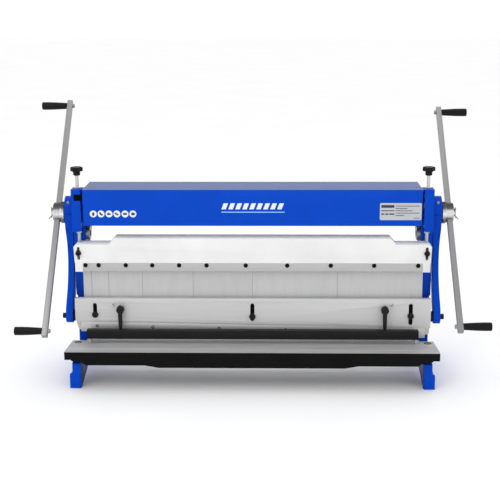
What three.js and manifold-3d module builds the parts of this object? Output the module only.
// Hand-cranked sheet metal brake with a shear and a three-roll former on one frame (working width 1016 mm).
// Frame: millimetres, +X to the right, +Y to the back, +Z up. The origin lies on the bench plane,
// straight below the crank shaft's axis and half way between the two side frames.
// Rest position: crank at top dead centre, bending fingers seated in the vee die, shear blade open.
import * as THREE from 'three';
import { mergeVertices } from 'three/addons/utils/BufferGeometryUtils.js';
import Module from 'manifold-3d';

const wasm = await Module();
wasm.setup();

// ---------------------------------------------------------------- driving dimensions
const GAP = 0.3;                        // clearance left between neighbouring pieces

const FRAME_IN = 504;                   // inner face of each side frame
const FRAME_OUT = 534;                  // outer face of each side frame
const COLUMN_FRONT = -28;
const COLUMN_BACK = 62;
const COLUMN_TOP = 558;
const FOOT_Y = 192;
const FOOT_H = 37;
const SEAT_Z = 78;                      // the table rests on the legs here

const CRANK_Z = 491;
const ROLL_R = 19;
const UPPER_ROLL_Z = CRANK_Z + 2 * ROLL_R + 1;
const REAR_ROLL = [34, 469];
const JOURNAL_R = 15;
const UPPER_JOURNAL_R = 12;
const REAR_JOURNAL_R = 9;
const SWING_PIVOT = [-4, 428];
const ECCENTRICITY = 14;
const ECCENTRIC_R = 29;
const RING_R = 36.5;
const STUB_R = 12;
const LINK_IN = 539;
const LINK_OUT = 563;
const EYE_IN = 543;                     // inner face of each link's lower eye
const LINK_PIN = [-60, 184];
const HUB_IN = 565;
const HUB_OUT = 599;
const HUB_R = 30;
const ARM_X = 588;
const ARM_SIDE = 16;
const ARM_HALF = 409;
const GRIP_AT = 391;
const GRIP_R = 12;
const GRIP_L = 80;
const LEFT_LEAN = 41.7;                 // degrees from the vertical, top end to the back
const RIGHT_LEAN = 47.1;

const TABLE_HALF = 547;
const TABLE_REAR_HALF = 541;
const TABLE_TOP = 118;
const TABLE_FRONT = -210;
const TABLE_END_BACK = -98;
const BED_BLADE_BACK = -85.5;

const FACE_Y = -85;                     // front face of the beam, the clamp bar and the ram plate
const RAM_HALF = 533;
const PLATE_TOP = 245;
const DIE_TOP = 233;
const PLATE_BACK = -68;
const RAKE = [174, 155];                // lower edge of the ram plate at its left and right end
const BLADE_H = 31;
const BLADE_HALF = 517;
const FINGER_FRONT = -65;
const FINGER_BACK = -45;
const FINGER_TIP = 230.5;
const FINGER_EDGES = [-508, -482.6, -431.8, -330.2, -177.8, 0, 254, 508];
const BEAM_HALF = 530;
const BEAM_BACK = -30;
const CLAMP_Z = [330, 355];
const SCREW_X = 518;
const SCREW_Y = -47;
const BEAM_SLOT_X = 516;
const BLOCK_IN = 506;
const BLOCK_Y = [-72, -28.3];
const BLOCK_Z = [446, 574];
const COVER_HALF = 499;
const COVER_Y = [-75, 60];
const COVER_Z = [466, 574];
const COVER_T = 3;
const COVER_PIVOT = [50, 547];
const HOLD_Y = [-130, -108];
const HOLD_Z = [133, 159];
const GUIDE = [487, -119];              // guide pins of the hold-down bar
const LEVER_X = 395;
const LEVER_Z = 214;
const PAD_X = [-468, -300, -100, 100, 300, 468];
// Word, X, Z of each plate bolt and the bottom of its slot.
const PLATE_BOLTS = [['left', -473, 195, 184], ['centre', 0, 190, 175], ['right', 473, 193, 164]];
const SLOT_TOP = 231;

const X_AXIS = new THREE.Vector3(1, 0, 0);
const Y_AXIS = new THREE.Vector3(0, 1, 0);
const Z_AXIS = new THREE.Vector3(0, 0, 1);

// ---------------------------------------------------------------- materials
function paint(color, roughness, metalness) {
  return new THREE.MeshStandardMaterial({ color, roughness, metalness });
}

const BLUE = paint(0x0a3fc4, 0.38, 0.1);
const WHITE = paint(0xf1f1ef, 0.45, 0.05);
const BLACK = paint(0x1b1b1c, 0.5, 0.1);
const PLASTIC = paint(0x141415, 0.6, 0);
const GROUND = paint(0xc3c3c1, 0.36, 0.85);
const STEEL = paint(0xaeb0b2, 0.33, 0.9);
const BRIGHT = paint(0xd4d5d6, 0.22, 0.95);
const OXIDE = paint(0x2a2a2b, 0.45, 0.6);
const CAST = paint(0xe4e2da, 0.55, 0.05);

// ---------------------------------------------------------------- shape helpers
function solid(geometry) {
  const bare = geometry.index ? geometry.toNonIndexed() : geometry.clone();
  bare.deleteAttribute('normal');
  bare.deleteAttribute('uv');
  const merged = mergeVertices(bare, 1e-4);
  return new wasm.Manifold(new wasm.Mesh({
    numProp: 3,
    vertProperties: merged.attributes.position.array,
    triVerts: new Uint32Array(merged.index.array),
  }));
}

function geometryOf(shape) {
  const mesh = shape.getMesh();
  const positions = new Float32Array(mesh.numVert * 3);
  for (let i = 0; i < mesh.numVert; i += 1) {
    positions.set(mesh.vertProperties.subarray(i * mesh.numProp, i * mesh.numProp + 3), i * 3);
  }
  const geometry = new THREE.BufferGeometry();
  geometry.setAttribute('position', new THREE.BufferAttribute(positions, 3));
  geometry.setIndex(new THREE.BufferAttribute(mesh.triVerts.slice(), 1));
  geometry.computeVertexNormals();
  return geometry;
}

function carve(base, cuts = [], joins = []) {
  let shape = solid(base);
  joins.forEach((g) => {
    shape = shape.add(solid(g));
  });
  cuts.forEach((g) => {
    shape = shape.subtract(solid(g));
  });
  return geometryOf(shape);
}

function block(x, y, z) {
  const g = new THREE.BoxGeometry(x[1] - x[0], y[1] - y[0], z[1] - z[0]);
  return g.translate((x[0] + x[1]) / 2, (y[0] + y[1]) / 2, (z[0] + z[1]) / 2);
}

// A round bar along an axis; at is the centre in the other two coordinates, in X, Y, Z order.
function bar(axis, r, span, at = [0, 0], segments = 20, rEnd = r) {
  const g = new THREE.CylinderGeometry(rEnd, r, span[1] - span[0], segments);
  g.translate(0, (span[0] + span[1]) / 2, 0);
  if (axis === X_AXIS) {
    g.rotateZ(-Math.PI / 2);
    return g.translate(0, at[0], at[1]);
  }
  if (axis === Z_AXIS) {
    g.rotateX(Math.PI / 2);
    return g.translate(at[0], at[1], 0);
  }
  return g.translate(at[0], 0, at[1]);
}

function outline(points, radius = 0) {
  const shape = new THREE.Shape();
  if (!radius) {
    return shape.setFromPoints(points.map(([a, b]) => new THREE.Vector2(a, b)));
  }
  points.forEach(([a, b], i) => {
    const before = new THREE.Vector2(...points[(i + points.length - 1) % points.length]);
    const corner = new THREE.Vector2(a, b);
    const after = new THREE.Vector2(...points[(i + 1) % points.length]);
    const r = Math.min(radius, corner.distanceTo(before) / 2.2, corner.distanceTo(after) / 2.2);
    const start = corner.clone().add(before.sub(corner).setLength(r));
    const end = corner.clone().add(after.sub(corner).setLength(r));
    if (i === 0) {
      shape.moveTo(start.x, start.y);
    } else {
      shape.lineTo(start.x, start.y);
    }
    shape.quadraticCurveTo(corner.x, corner.y, end.x, end.y);
  });
  shape.closePath();
  return shape;
}

function extruded(shape, span, curveSegments) {
  const depth = span[1] - span[0];
  return new THREE.ExtrudeGeometry(shape, { depth, bevelEnabled: false, curveSegments });
}

// A Y-Z outline pushed along +X over the given span.
function alongX(shape, span, curveSegments = 2) {
  const g = extruded(shape, span, curveSegments);
  g.applyMatrix4(new THREE.Matrix4().makeBasis(Y_AXIS, Z_AXIS, X_AXIS));
  return g.translate(span[0], 0, 0);
}

// An X-Z outline given depth along Y over the given span.
function alongY(shape, span, curveSegments = 2) {
  const g = extruded(shape, span, curveSegments);
  g.applyMatrix4(new THREE.Matrix4().makeBasis(X_AXIS, Z_AXIS, Y_AXIS.clone().negate()));
  return g.translate(0, span[1], 0);
}

// An X-Y outline raised along +Z over the given span.
function alongZ(shape, span, curveSegments = 2) {
  const g = extruded(shape, span, curveSegments);
  return g.translate(0, 0, span[0]);
}

function slotShape(x, z0, z1, r) {
  const shape = new THREE.Shape();
  shape.absarc(x, z1 - r, r, 0, Math.PI, false);
  shape.absarc(x, z0 + r, r, Math.PI, 2 * Math.PI, false);
  shape.closePath();
  return shape;
}

function sided(side, span) {
  return side > 0 ? [span[0], span[1]] : [-span[1], -span[0]];
}

const brake = new THREE.Group();

function place(name, geometry, material, parent = brake) {
  const mesh = new THREE.Mesh(geometry, material);
  mesh.name = name;
  parent.add(mesh);
  return mesh;
}

const SIDES = [[-1, 'left'], [1, 'right']];

// ---------------------------------------------------------------- side frames
function sideFrame(side) {
  const span = sided(side, [FRAME_IN, FRAME_OUT]);
  const body = outline([
    [-FOOT_Y + 1, 0], [-176, 0], [-166, 3], [-70, 26], [-50, 29], [50, 29], [70, 26], [166, 3], [176, 0],
    [FOOT_Y - 1, 0], [FOOT_Y - 1, 48], [168, 72], [118, 104], [74, 168], [COLUMN_BACK, 236],
    [COLUMN_BACK, COLUMN_TOP], [COLUMN_FRONT, COLUMN_TOP], [COLUMN_FRONT, 94], [-82, 92],
    [-84, SEAT_Z], [-FOOT_Y + 1, SEAT_Z],
  ], 7);
  const pads = [-1, 1].map((end) => {
    const toe = [[-FOOT_Y, 0], [-177, 0], [-177, FOOT_H], [-183, FOOT_H + 8], [-FOOT_Y, FOOT_H]];
    const points = toe.map(([y, z]) => [end < 0 ? y : -y, z]);
    return alongX(outline(end < 0 ? points : points.reverse()), sided(side, [FRAME_IN + 2, FRAME_OUT + 3]));
  });
  const seat = block(sided(side, [FRAME_IN - 0.2, FRAME_OUT + 2]), [-170, TABLE_END_BACK], [64, SEAT_Z]);
  const pivot = bar(X_AXIS, 8, sided(side, [490, FRAME_IN + 1]), SWING_PIVOT, 16);
  const flange = block(sided(side, [FRAME_OUT - 1, FRAME_OUT + 3.5]), [COLUMN_FRONT, 20], [240, 440]);
  const pocket = outline([[-12, 136], [46, 136], [46, 398], [-12, 398]], 12);
  const gusset = outline([[66, 116], [104, 98], [66, 152]], 5);
  const recess = (shape) => [
    alongX(shape, sided(side, [FRAME_IN - 2, FRAME_IN + 9])),
    alongX(shape, sided(side, [FRAME_OUT - 9, FRAME_OUT + 2])),
  ];
  const shin = [
    [FRAME_OUT - 5.5, 92], [FRAME_OUT - 5.5, FOOT_H + 12], [FRAME_OUT + 4, FOOT_H + 4], [FRAME_OUT + 4, 92],
  ].map(([x, z]) => [side * x, z]);
  const through = sided(side, [FRAME_IN - 3, FRAME_OUT + 3]);
  return carve(alongX(body, span), [
    ...recess(pocket), ...recess(gusset),
    alongY(outline(side > 0 ? shin : shin.reverse()), [-FOOT_Y - 2, -99]),
    bar(X_AXIS, JOURNAL_R + 0.6, through, [0, CRANK_Z], 28),
    bar(X_AXIS, UPPER_JOURNAL_R + 0.6, through, [0, UPPER_ROLL_Z], 24),
    bar(X_AXIS, 4.6, sided(side, [FRAME_IN - 3, FRAME_IN + 14]), COVER_PIVOT, 12),
    bar(Y_AXIS, 4.4, [COLUMN_FRONT - 2, 4], [side * BEAM_SLOT_X, 385], 12),
  ], [...pads, seat, pivot, flange]);
}

// Block bolted to the front of each column; it guides the height screw and carries it on its collars.
function screwBlock(side) {
  const x = sided(side, [BLOCK_IN, FRAME_OUT]);
  const lip = sided(side, [BLOCK_IN + 4, FRAME_OUT]);
  const cuts = [bar(Z_AXIS, 5.6, [BLOCK_Z[0] - 2, BLOCK_Z[1] + 2], [side * SCREW_X, SCREW_Y], 14)];
  if (side < 0) {
    cuts.push(block([-526, -505], [-73, -56], [540, 559]));
  }
  const main = block(x, BLOCK_Y, [BLOCK_Z[0] + 12, BLOCK_Z[1]]);
  return carve(main, cuts, [block(lip, [BLOCK_Y[0] + 3, BLOCK_Y[1]], [BLOCK_Z[0], BLOCK_Z[0] + 13])]);
}

const frameGroup = new THREE.Group();
brake.add(frameGroup);
SIDES.forEach(([side, word]) => {
  place(`${word}_side_frame`, sideFrame(side), BLUE, frameGroup);
  place(`${word}_screw_block`, screwBlock(side), BLUE, frameGroup);
  const head = bar(Y_AXIS, 8.5, [-93.5, FACE_Y - GAP], [side * BEAM_SLOT_X, 385], 16);
  const shank = bar(Y_AXIS, 3.8, [-86, 2], [side * BEAM_SLOT_X, 385], 12);
  place(`${word}_beam_bolt`, carve(head, [], [shank]), OXIDE, frameGroup);
});

// ---------------------------------------------------------------- table and bed blade
function tableGeometry() {
  const front = outline([
    [-TABLE_HALF, TABLE_TOP], [-TABLE_HALF, 97], [-531, 97], [-524, 90], [-502.5, 90], [-484, SEAT_Z],
    [-312, SEAT_Z], [-271, 71], [271, 71], [312, SEAT_Z], [484, SEAT_Z], [502.5, 90], [524, 90],
    [531, 97], [TABLE_HALF, 97], [TABLE_HALF, TABLE_TOP],
  ]);
  const apron = alongY(front, [TABLE_FRONT, TABLE_FRONT + 18]);
  const half = [
    [TABLE_HALF, TABLE_FRONT + 1], [TABLE_HALF, TABLE_FRONT + 18], [TABLE_REAR_HALF, TABLE_END_BACK],
    [500.3, TABLE_END_BACK], [500.3, -110.4],
  ];
  const plan = outline([...half, ...half.map(([x, y]) => [-x, y]).reverse()]);
  const deck = alongZ(plan, [94, TABLE_TOP]);
  const ledge = block([-500, 500], [-150, BED_BLADE_BACK - 1], [71, TABLE_TOP - 20.3]);
  const pads = SIDES.map(([side]) => block(sided(side, [FRAME_IN, FRAME_OUT]), [-168, TABLE_END_BACK],
    [SEAT_Z + GAP, 95]));
  const ribs = [-400, -200, 0, 200, 400]
    .map((x) => block([x - 5, x + 5], [TABLE_FRONT + 5, -140], [80, 100]));
  const holes = SIDES.flatMap(([side]) => [
    bar(Z_AXIS, 11, [109, TABLE_TOP + 2], [side * 522, -118], 18),
    bar(Z_AXIS, 5.5, [70, TABLE_TOP + 2], [side * 522, -118], 12),
    bar(Z_AXIS, 4, [60, TABLE_TOP + 2], [side * GUIDE[0], GUIDE[1]], 12),
  ]);
  return carve(deck, holes, [apron, ledge, ...pads, ...ribs]);
}

place('table', tableGeometry(), BLACK);
place('bed_blade', block([-500, 500], [-110, BED_BLADE_BACK], [TABLE_TOP - 20, TABLE_TOP]), GROUND);

// ---------------------------------------------------------------- rear tie bar and back gauge
const BETWEEN_FRAMES = [-FRAME_IN + GAP, FRAME_IN - GAP];
const railBores = SIDES.map(([side]) => bar(Y_AXIS, 6.5, [-30, -12], [side * 300, 84], 16));
place('rear_tie_bar', bar(X_AXIS, 11, BETWEEN_FRAMES, [140, 56], 18), BLUE);
place('rear_table_rail', carve(block(BETWEEN_FRAMES, [-26, -16], [60, 106]), railBores), GROUND);
SIDES.forEach(([side, word]) => {
  place(`${word}_gauge_rod`, bar(Y_AXIS, 6, [BED_BLADE_BACK - 0.7, 232], [side * 300, 84], 14), STEEL);
});

function backGauge() {
  const flange = block([-340, 340], [112, 120], [72, 118]);
  const foot = block([-340, 340], [112, 138], [94, 100]);
  const bosses = SIDES.map(([side]) => bar(Y_AXIS, 13, [104, 142], [side * 300, 84], 16));
  const bores = SIDES.map(([side]) => bar(Y_AXIS, 6.5, [100, 146], [side * 300, 84], 16));
  return carve(flange, bores, [foot, ...bosses]);
}

place('back_gauge_bar', backGauge(), STEEL);

// ---------------------------------------------------------------- upper beam, clamp bar and bending fingers
function upperBeam() {
  const face = outline([
    [-BEAM_HALF, 404], [-BEAM_HALF + 2, CLAMP_Z[1]], [BEAM_HALF - 2, CLAMP_Z[1]], [BEAM_HALF, 404],
    [BEAM_HALF - 8, 411], [425, 411], [408, 430], [-408, 430], [-425, 411], [-BEAM_HALF + 8, 411],
  ]);
  const main = alongY(face, [FACE_Y, BEAM_BACK]);
  const backLeg = block([-500, 500], [FINGER_BACK + GAP, BEAM_BACK], [CLAMP_Z[0], CLAMP_Z[1] + 1]);
  const lugs = SIDES.flatMap(([side]) => [
    block(sided(side, [504.4, 527]), [FACE_Y, FINGER_FRONT - GAP], [CLAMP_Z[0] - 2, CLAMP_Z[1] + 1]),
    block(sided(side, [509, 525]), [FINGER_FRONT - 1, BEAM_BACK], [CLAMP_Z[0], CLAMP_Z[1] + 1]),
  ]);
  const cuts = SIDES.flatMap(([side]) => [
    alongY(slotShape(side * BEAM_SLOT_X, 363, 404, 4.4), [FACE_Y - 2, BEAM_BACK + 2]),
    bar(Z_AXIS, 5.6, [388, 415], [side * SCREW_X, SCREW_Y], 14),
  ]);
  return carve(main, cuts, [backLeg, ...lugs]);
}

const beamGroup = new THREE.Group();
brake.add(beamGroup);
place('upper_beam', upperBeam(), WHITE, beamGroup);
const clampBar = block([-504, 504], [FACE_Y, FINGER_FRONT - GAP], [CLAMP_Z[0], CLAMP_Z[1] - GAP]);
place('clamp_bar', clampBar, GROUND, beamGroup);

const fingerProfile = outline([
  [FINGER_FRONT, CLAMP_Z[1] - GAP], [FINGER_FRONT, FINGER_TIP + 10.5], [-55.6, FINGER_TIP],
  [-54.4, FINGER_TIP], [FINGER_BACK, FINGER_TIP + 10.5], [FINGER_BACK, CLAMP_Z[1] - GAP],
]);
FINGER_EDGES.slice(0, -1).forEach((edge, i) => {
  const span = [edge + 0.2, FINGER_EDGES[i + 1] - 0.2];
  place(`finger_${i + 1}`, alongX(fingerProfile, span), GROUND, beamGroup);
});

// ---------------------------------------------------------------- height screws and star knobs
function starKnob() {
  const lobes = new THREE.Shape();
  const steps = 36;
  for (let i = 0; i < steps; i += 1) {
    const a = (i / steps) * 2 * Math.PI;
    const r = 16.6 + 2.1 * Math.cos(6 * a);
    if (i === 0) {
      lobes.moveTo(r, 0);
    } else {
      lobes.lineTo(r * Math.cos(a), r * Math.sin(a));
    }
  }
  lobes.closePath();
  const profile = [[0, 613], [9, 613], [10.5, 615], [10.5, 625.5], [0, 625.5]]
    .map(([r, z]) => new THREE.Vector2(r, z));
  const stem = new THREE.LatheGeometry(profile, 16).rotateX(Math.PI / 2);
  const cap = bar(Z_AXIS, 15, [636.5, 638.5], [0, 0], 12, 12);
  const bore = bar(Z_AXIS, 5.4, [600, 632], [0, 0], 12);
  return carve(alongZ(lobes, [625, 637]), [bore], [stem, cap]);
}

SIDES.forEach(([side, word]) => {
  const group = new THREE.Group();
  group.position.set(side * SCREW_X, SCREW_Y, 0);
  brake.add(group);
  place(`${word}_star_knob`, starKnob(), PLASTIC, group);
  const rod = bar(Z_AXIS, 5, [402, 631.5], [0, 0], 12);
  const lower = bar(Z_AXIS, 8.5, [439, BLOCK_Z[0] - GAP], [0, 0], 6);
  const upper = bar(Z_AXIS, 8, [BLOCK_Z[1] + GAP, BLOCK_Z[1] + 2.5], [0, 0], 14);
  place(`${word}_height_screw`, carve(rod, [], [lower, upper]), STEEL, group);
});

// ---------------------------------------------------------------- ram, face plate, shear blade and vee die
const rake = (x) => RAKE[0] + ((x + RAM_HALF) / (2 * RAM_HALF)) * (RAKE[1] - RAKE[0]);

function ramCasting() {
  const body = outline([
    [-RAM_HALF, DIE_TOP - 20.3], [-RAM_HALF, 165], [-RAM_HALF + 3, 148], [-RAM_HALF + 9, 142],
    [RAM_HALF - 5, 129], [RAM_HALF - 1, 133], [RAM_HALF, DIE_TOP - 20.3],
  ]);
  const pockets = [-430, -258, -86, 86, 258, 430]
    .map((x) => block([x - 74, x + 74], [-47, BEAM_BACK], [164, 204]));
  const taps = PLATE_BOLTS.map(([, x, z]) => bar(Y_AXIS, 4.4, [PLATE_BACK - 2, -52], [x, z], 12));
  return carve(alongY(body, [PLATE_BACK + GAP, -31]), [...pockets, ...taps]);
}

function ramPlate() {
  const face = outline([
    [-RAM_HALF, PLATE_TOP], [-RAM_HALF, RAKE[0]], [RAM_HALF, RAKE[1]], [RAM_HALF, PLATE_TOP],
  ]);
  const cuts = PLATE_BOLTS.map(([, x, , low]) => alongY(slotShape(x, low, SLOT_TOP, 6),
    [FACE_Y - 2, PLATE_BACK + 2]));
  return carve(alongY(face, [FACE_Y, PLATE_BACK]), cuts);
}

function upperBlade() {
  const left = rake(-BLADE_HALF) - GAP;
  const right = rake(BLADE_HALF) - GAP;
  const face = outline([
    [-BLADE_HALF, left], [-BLADE_HALF, left - BLADE_H], [BLADE_HALF, right - BLADE_H], [BLADE_HALF, right],
  ]);
  return alongY(face, [FACE_Y, PLATE_BACK]);
}

const veeDie = outline([
  [PLATE_BACK + GAP, DIE_TOP - 20], [-36, DIE_TOP - 20], [-36, DIE_TOP], [-45.5, DIE_TOP],
  [-55, DIE_TOP - 8.5], [-64.5, DIE_TOP], [PLATE_BACK + GAP, DIE_TOP],
]);

const ramGroup = new THREE.Group();
brake.add(ramGroup);
place('ram', ramCasting(), CAST, ramGroup);
place('ram_plate', ramPlate(), GROUND, ramGroup);
place('upper_blade', upperBlade(), GROUND, ramGroup);
place('vee_die', alongX(veeDie, [-530, 530]), GROUND, ramGroup);
PLATE_BOLTS.forEach(([word, x, z]) => {
  const head = bar(Y_AXIS, 9.5, [-94, FACE_Y - GAP], [x, z], 14);
  const shank = bar(Y_AXIS, 3.8, [-86, -67], [x, z], 12);
  place(`${word}_plate_bolt`, carve(head, [], [shank]), OXIDE, ramGroup);
});

// ---------------------------------------------------------------- hold-down bar and the ram's clamp levers
function holdDown() {
  const body = block([-493, 493], HOLD_Y, HOLD_Z);
  const pads = PAD_X.map((x) => bar(Z_AXIS, 9, [HOLD_Z[0] - 3, HOLD_Z[0] + 1], [x, GUIDE[1]], 12));
  const pins = SIDES.map(([side]) => bar(Z_AXIS, 3, [98, HOLD_Z[0] + 1], [side * GUIDE[0], GUIDE[1]], 10));
  return carve(body, [], [...pads, ...pins]);
}

SIDES.forEach(([side, word]) => {
  const x = side * LEVER_X;
  place(`${word}_clamp_boss`, bar(Y_AXIS, 9, [-91.7, FACE_Y - GAP], [x, LEVER_Z], 18), OXIDE, ramGroup);
  const lever = new THREE.Group();
  lever.position.set(x, 0, LEVER_Z);
  brake.add(lever);
  const hub = bar(Y_AXIS, 11.5, [-107, -92], [0, 0], 18);
  const arm = alongY(outline([[-6, 0], [-5, -50], [0, -57], [5, -50], [6, 0]], 2), [-107, -99]);
  const tail = bar(Y_AXIS, 7, [-107, -99], [0, 8], 14);
  place(`${word}_clamp_lever`, carve(hub, [], [arm, tail]), OXIDE, lever);
});
place('hold_down_bar', holdDown(), BLACK);

// ---------------------------------------------------------------- crank shaft with the lower roll
const crank = new THREE.Group();
crank.position.set(0, 0, CRANK_Z);
brake.add(crank);

function rollShaft() {
  const half = [
    [ROLL_R, 476], [JOURNAL_R, 478], [JOURNAL_R, LINK_IN - 1], [STUB_R, LINK_IN - 1], [STUB_R, 577],
  ];
  const profile = [
    [0, -577], ...half.map(([r, x]) => [r, -x]).reverse(), ...half, [0, 577],
  ].map(([r, x]) => new THREE.Vector2(r, x));
  return new THREE.LatheGeometry(profile, 24).rotateZ(-Math.PI / 2);
}

// Spur gear: trapezoid teeth on a root circle, bored for its shaft.
function gear(teeth, span, bore, phase) {
  const shape = new THREE.Shape();
  const steps = [[-0.26, 17.4], [-0.12, 21], [0.12, 21], [0.26, 17.4]];
  for (let i = 0; i < teeth; i += 1) {
    steps.forEach(([t, r], k) => {
      const a = ((i + t + phase) / teeth) * 2 * Math.PI;
      if (i === 0 && k === 0) {
        shape.moveTo(r * Math.cos(a), r * Math.sin(a));
      } else {
        shape.lineTo(r * Math.cos(a), r * Math.sin(a));
      }
    });
  }
  shape.closePath();
  return carve(alongX(shape, span), [bar(X_AXIS, bore, [span[0] - 2, span[1] + 2], [0, 0], 20)]);
}

function hubGeometry(side) {
  const body = bar(X_AXIS, HUB_R, sided(side, [HUB_IN, HUB_OUT]), [0, 0], 24);
  const collar = bar(X_AXIS, HUB_R + 3, sided(side, [HUB_IN, HUB_IN + 12]), [0, 0], 24);
  const boss = bar(X_AXIS, STUB_R, sided(side, [HUB_OUT - 1, HUB_OUT + 5]), [0, 0], 20);
  const half = ARM_SIDE / 2 + 0.4;
  const slot = block([side * ARM_X - half, side * ARM_X + half], [-half, half], [-HUB_R - 5, HUB_R + 5]);
  const bore = bar(X_AXIS, STUB_R + 0.3, sided(side, [HUB_IN - 2, 579]), [0, 0], 20);
  return carve(body, [bore, slot], [collar, boss]);
}

function crankArm(side) {
  const half = ARM_SIDE / 2;
  const body = block([side * ARM_X - half, side * ARM_X + half], [-half, half], [-ARM_HALF, ARM_HALF]);
  const ends = [-1, 1].flatMap((end) => [
    bar(X_AXIS, 4, sided(side, [ARM_X, ARM_X + half + GRIP_L - 1]), [0, end * GRIP_AT], 12),
    bar(X_AXIS, 7, sided(side, [ARM_X - half - 7, ARM_X - half + 1]), [0, end * GRIP_AT], 6),
  ]);
  return carve(body, [], ends);
}

function gripGeometry(side) {
  const profile = [
    [4.5, 0.5], [8.5, 0.5], [10, 3], [10.6, 12], [GRIP_R, 34], [GRIP_R, 60], [10.5, 74], [7.5, GRIP_L],
    [4.5, GRIP_L], [4.5, 0.5],
  ].map(([r, x]) => new THREE.Vector2(r, x));
  return new THREE.LatheGeometry(profile, 14).rotateZ((-side * Math.PI) / 2);
}

place('roll_shaft', rollShaft(), STEEL, crank);
place('shaft_gear', gear(16, [-500, -481], JOURNAL_R + 0.3, 0), STEEL, crank);
SIDES.forEach(([side, word]) => {
  const disc = bar(X_AXIS, ECCENTRIC_R, sided(side, [LINK_IN, LINK_OUT]), [0, ECCENTRICITY], 32);
  const seat = bar(X_AXIS, STUB_R + 0.3, sided(side, [LINK_IN - 2, LINK_OUT + 2]), [0, 0], 20);
  place(`${word}_eccentric`, carve(disc, [seat]), STEEL, crank);
  const arms = new THREE.Group();
  arms.rotation.x = THREE.MathUtils.degToRad(-(side < 0 ? LEFT_LEAN : RIGHT_LEAN));
  crank.add(arms);
  place(`${word}_crank_hub`, hubGeometry(side), BRIGHT, arms);
  place(`${word}_crank_arm`, crankArm(side), STEEL, arms);
  [[1, 'rear'], [-1, 'front']].forEach(([end, where]) => {
    const grip = new THREE.Group();
    grip.position.set(side * (ARM_X + ARM_SIDE / 2), 0, end * GRIP_AT);
    arms.add(grip);
    place(`${word}_${where}_grip`, gripGeometry(side), PLASTIC, grip);
  });
});

// ---------------------------------------------------------------- links from the eccentrics to the ram
function linkGeometry(side) {
  const span = sided(side, [LINK_IN, LINK_OUT]);
  const top = CRANK_Z + ECCENTRICITY;
  const smooth = (points) => new THREE.SplineCurve(points.map(([y, z]) => new THREE.Vector2(y, z)))
    .getPoints(12)
    .map((p) => [p.x, p.y]);
  const back = smooth([[31, top - 20], [30, 430], [20, 350], [-2, 262], [-26, 204], [-46, 168]]);
  const front = smooth([
    [-79, 192], [-66, 232], [-43, 288], [-27, 345], [-24, 400], [-28, 446], [-34, top - 16],
  ]);
  const rod = alongX(outline([...back, ...front].reverse()), span);
  const ring = bar(X_AXIS, RING_R, span, [0, top], 32);
  const foot = bar(X_AXIS, 21, span, LINK_PIN, 20);
  // The rod is thinner than its ring on both faces, and the lower eye on its inner face only.
  const scoop = (waist, beyond) => {
    const points = smooth(waist).concat([[beyond, waist.at(-1)[1]], [beyond, waist[0][1]]])
      .map(([x, z]) => [side * x, z]);
    return alongY(outline(side * (beyond - LINK_IN) > 0 ? points : points.reverse()), [-120, 70]);
  };
  return carve(rod, [
    scoop([[LINK_OUT + 0.5, 206], [LINK_OUT - 3, 262], [LINK_OUT - 4, 330], [LINK_OUT - 3, 398],
      [LINK_OUT + 0.5, 452]], LINK_OUT + 6),
    scoop([[EYE_IN, 150], [EYE_IN, 206], [EYE_IN - 1, 262], [EYE_IN - 1.2, 330], [EYE_IN - 2, 398],
      [LINK_IN - 0.5, 452]], LINK_IN - 6),
    bar(X_AXIS, ECCENTRIC_R + 0.6, sided(side, [LINK_IN - 2, LINK_OUT + 2]), [0, top], 36),
    bar(X_AXIS, 6.4, sided(side, [LINK_IN - 2, LINK_OUT + 2]), LINK_PIN, 14),
  ], [ring, foot]);
}

function linkPin(side) {
  const washer = bar(X_AXIS, 16, sided(side, [RAM_HALF + 0.6, EYE_IN - GAP]), LINK_PIN, 18);
  const shank = bar(X_AXIS, 6, sided(side, [RAM_HALF + 1, LINK_OUT + 1]), LINK_PIN, 14);
  const head = bar(X_AXIS, 8.8, sided(side, [LINK_OUT + GAP, LINK_OUT + 12]), LINK_PIN, 6);
  return carve(washer, [], [shank, head]);
}

SIDES.forEach(([side, word]) => {
  place(`${word}_link`, linkGeometry(side), BLUE);
  place(`${word}_link_pin`, linkPin(side), OXIDE);
});

// ---------------------------------------------------------------- upper roll, rear roll and its swing arms
const upperRoll = new THREE.Group();
upperRoll.position.set(0, 0, UPPER_ROLL_Z);
brake.add(upperRoll);
const upperHalf = [[ROLL_R, 476], [UPPER_JOURNAL_R, 478], [UPPER_JOURNAL_R, 532]];
const upperProfile = [[0, -532], ...upperHalf.map(([r, x]) => [r, -x]).reverse(), ...upperHalf, [0, 532]]
  .map(([r, x]) => new THREE.Vector2(r, x));
place('upper_roll', new THREE.LatheGeometry(upperProfile, 24).rotateZ(-Math.PI / 2), STEEL, upperRoll);
place('upper_gear', gear(16, [-500, -481], UPPER_JOURNAL_R + 0.3, 0.5), STEEL, upperRoll);

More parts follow.
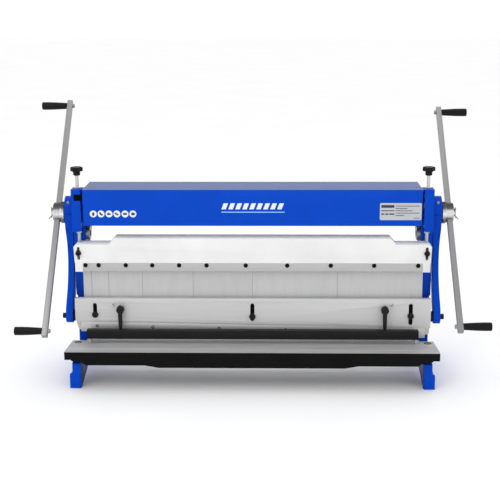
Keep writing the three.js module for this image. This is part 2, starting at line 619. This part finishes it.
const rearRoll = new THREE.Group();
rearRoll.position.set(0, REAR_ROLL[0], REAR_ROLL[1]);
brake.add(rearRoll);
const rearHalf = [[ROLL_R, 476], [REAR_JOURNAL_R, 478], [REAR_JOURNAL_R, 502]];
const rearProfile = [[0, -502], ...rearHalf.map(([r, x]) => [r, -x]).reverse(), ...rearHalf, [0, 502]]
  .map(([r, x]) => new THREE.Vector2(r, x));
place('rear_roll', new THREE.LatheGeometry(rearProfile, 24).rotateZ(-Math.PI / 2), STEEL, rearRoll);

function swingArm(side) {
  const span = sided(side, [491.5, FRAME_IN - GAP]);
  const web = alongX(outline([
    [SWING_PIVOT[0] + 9, SWING_PIVOT[1] - 14], [REAR_ROLL[0] + 11, REAR_ROLL[1] - 10],
    [REAR_ROLL[0] - 9, REAR_ROLL[1] + 8], [SWING_PIVOT[0] - 12, SWING_PIVOT[1] + 8],
  ]), span);
  return carve(web, [
    bar(X_AXIS, 8.5, [span[0] - 2, span[1] + 2], SWING_PIVOT, 20),
    bar(X_AXIS, REAR_JOURNAL_R + 0.5, [span[0] - 2, span[1] + 2], REAR_ROLL, 20),
  ], [bar(X_AXIS, 20, span, SWING_PIVOT, 20), bar(X_AXIS, 14, span, REAR_ROLL, 20)]);
}

SIDES.forEach(([side, word]) => {
  place(`${word}_swing_arm`, swingArm(side), STEEL);
});

// ---------------------------------------------------------------- hinged roll cover
function rollCover() {
  const x = [-COVER_HALF, COVER_HALF];
  const front = block(x, [COVER_Y[0], COVER_Y[0] + COVER_T], COVER_Z);
  const top = block(x, COVER_Y, [COVER_Z[1] - COVER_T, COVER_Z[1]]);
  const back = block(x, [COVER_Y[1] - COVER_T, COVER_Y[1]], [542, COVER_Z[1]]);
  const lip = block(x, [COVER_Y[0], COVER_Y[0] + 12], [COVER_Z[0], COVER_Z[0] + COVER_T]);
  const ends = SIDES.flatMap(([side]) => {
    const span = sided(side, [COVER_HALF - COVER_T, COVER_HALF]);
    return [
      block(span, [COVER_Y[0], -28], COVER_Z),
      block(span, COVER_Y, [552, COVER_Z[1]]),
      bar(X_AXIS, 9, span, COVER_PIVOT, 12),
      bar(X_AXIS, 4, sided(side, [COVER_HALF - COVER_T, FRAME_IN + 12]), COVER_PIVOT, 12),
    ];
  });
  return carve(front, [], [top, back, lip, ...ends]);
}

place('roll_cover', rollCover(), BLUE);

export default brake;
